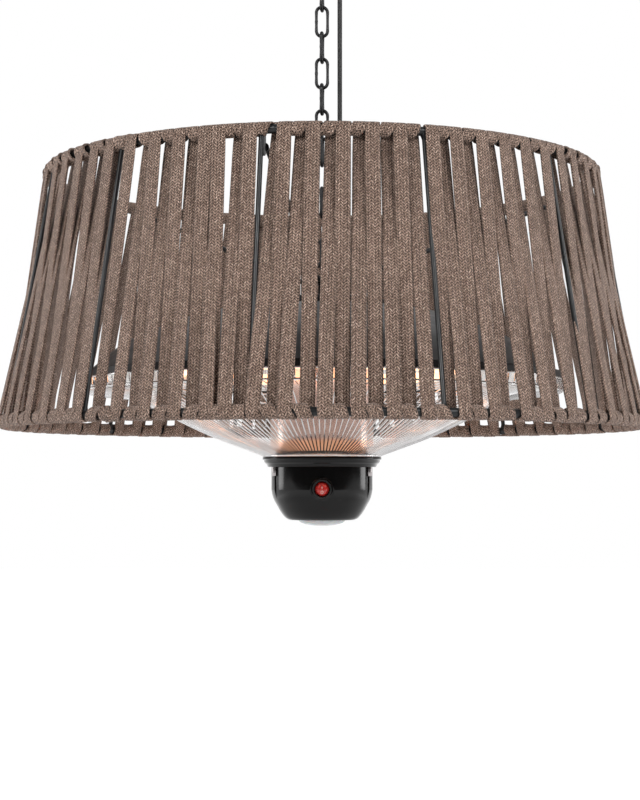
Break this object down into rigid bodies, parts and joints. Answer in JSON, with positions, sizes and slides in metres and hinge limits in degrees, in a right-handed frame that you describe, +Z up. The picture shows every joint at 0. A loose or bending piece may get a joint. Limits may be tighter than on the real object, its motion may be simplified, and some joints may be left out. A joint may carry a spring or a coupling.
{
  "type": "hanging patio heater",
  "caption": "Ceiling-hung electric patio heater: ring lamps in a domed head with a wire guard, inside a round shade wound from knitted strap, on a chain.",
  "frame": {"origin": "centre of the ceiling plate's upper face", "axes": "+Z up, -Y towards the front, where the rocker switch is, +X towards the power cable"},
  "size_m": [0.6516, 0.6514, 0.6092],
  "materials": {
    "zinc_steel": "zinc plated steel",
    "black_paint": "satin black powder coat",
    "black_plastic": "black nylon",
    "cable_jacket": "black rubber jacket",
    "taupe_strap": "knitted taupe strap",
    "anthracite_paint": "satin anthracite paint",
    "polished_aluminium": "polished",
    "amber_quartz": "amber quartz tube",
    "white_ceramic": "glazed ceramic",
    "bright_chrome": "bright chrome plate",
    "gloss_black": "glossy black moulding",
    "frosted_lens": "frosted diffuser",
    "light_board": "white circuit board",
    "red_rocker": "translucent red moulding"
  },
  "bodies": {
    "ceiling_mount": {"ceiling_plate": "zinc_steel", "rose_cover": "black_paint", "ceiling_hook": "zinc_steel", "cover_nut": "zinc_steel", "cable_gland_top": "black_plastic", "cable_at_ceiling": "cable_jacket"},
    "top_link": {"chain_link_01": "black_paint", "cable_at_top_link": "cable_jacket"},
    "chain": {"chain_link_02": "black_paint", "chain_link_03": "black_paint", "chain_link_04": "black_paint", "chain_link_05": "black_paint", "chain_link_06": "black_paint", "chain_link_07": "black_paint", "chain_link_08": "black_paint", "chain_link_09": "black_paint", "chain_link_10": "black_paint", "cable_along_chain": "cable_jacket"},
    "last_link": {"chain_link_11": "black_paint", "cable_at_last_link": "cable_jacket"},
    "heater": {"cable_at_head": "cable_jacket", "cable_gland_head": "black_plastic", "hanger_eye": "black_paint", "shade_frame": "black_paint", "shade_arm_1": "black_paint", "shade_arm_2": "black_paint", "shade_arm_3": "black_paint", "strap_winding_01": "taupe_strap", "strap_winding_02": "taupe_strap", "strap_winding_03": "taupe_strap", "strap_winding_04": "taupe_strap", "strap_winding_05": "taupe_strap", "strap_winding_06": "taupe_strap", "strap_winding_07": "taupe_strap", "strap_winding_08": "taupe_strap", "strap_winding_09": "taupe_strap", "strap_winding_10": "taupe_strap", "strap_winding_11": "taupe_strap", "strap_winding_12": "taupe_strap", "head_cap": "black_paint", "dome_cover": "anthracite_paint", "dome_rim": "black_paint", "reflector": "polished_aluminium", "column": "polished_aluminium", "lamp_tube_1": "amber_quartz", "lamp_tube_2": "amber_quartz", "lamp_holder_1": "white_ceramic", "lamp_holder_2": "white_ceramic", "holder_post_1": "zinc_steel", "holder_post_2": "zinc_steel", "guard": "bright_chrome", "pod_flange": "gloss_black", "pod_housing": "gloss_black", "pod_screw_1": "bright_chrome", "pod_screw_2": "bright_chrome", "pod_screw_3": "bright_chrome", "light_lens": "frosted_lens", "light_board": "light_board", "switch_body": "gloss_black"},
    "rocker": {"power_rocker": "red_rocker"}
  },
  "joints": [
    {"name": "chain_swing_side", "type": "hinge", "parent": "ceiling_mount", "child": "top_link", "pos_m": [0, 0, -0.05905], "axis": [0, 1, 0], "range_deg": [-25, 25], "deforming": ["cable_at_ceiling"]},
    {"name": "chain_swing_fore", "type": "hinge", "parent": "top_link", "child": "chain", "pos_m": [0, 0, -0.08515], "axis": [1, 0, 0], "range_deg": [-25, 25], "deforming": ["cable_at_top_link"]},
    {"name": "hanger_swing_side", "type": "hinge", "parent": "chain", "child": "last_link", "pos_m": [0, 0, -0.32005], "axis": [0, 1, 0], "range_deg": [-20, 20], "deforming": ["cable_at_last_link"]},
    {"name": "heater_tilt", "type": "hinge", "parent": "last_link", "child": "heater", "pos_m": [0, 0, -0.3453], "axis": [1, 0, 0], "range_deg": [-20, 20], "deforming": ["cable_at_head"]},
    {"name": "power_switch", "type": "hinge", "parent": "heater", "child": "rocker", "pos_m": [0, -0.0478, -0.5719], "axis": [-1, 0, 0], "range_deg": [0, 14]}
  ]
}
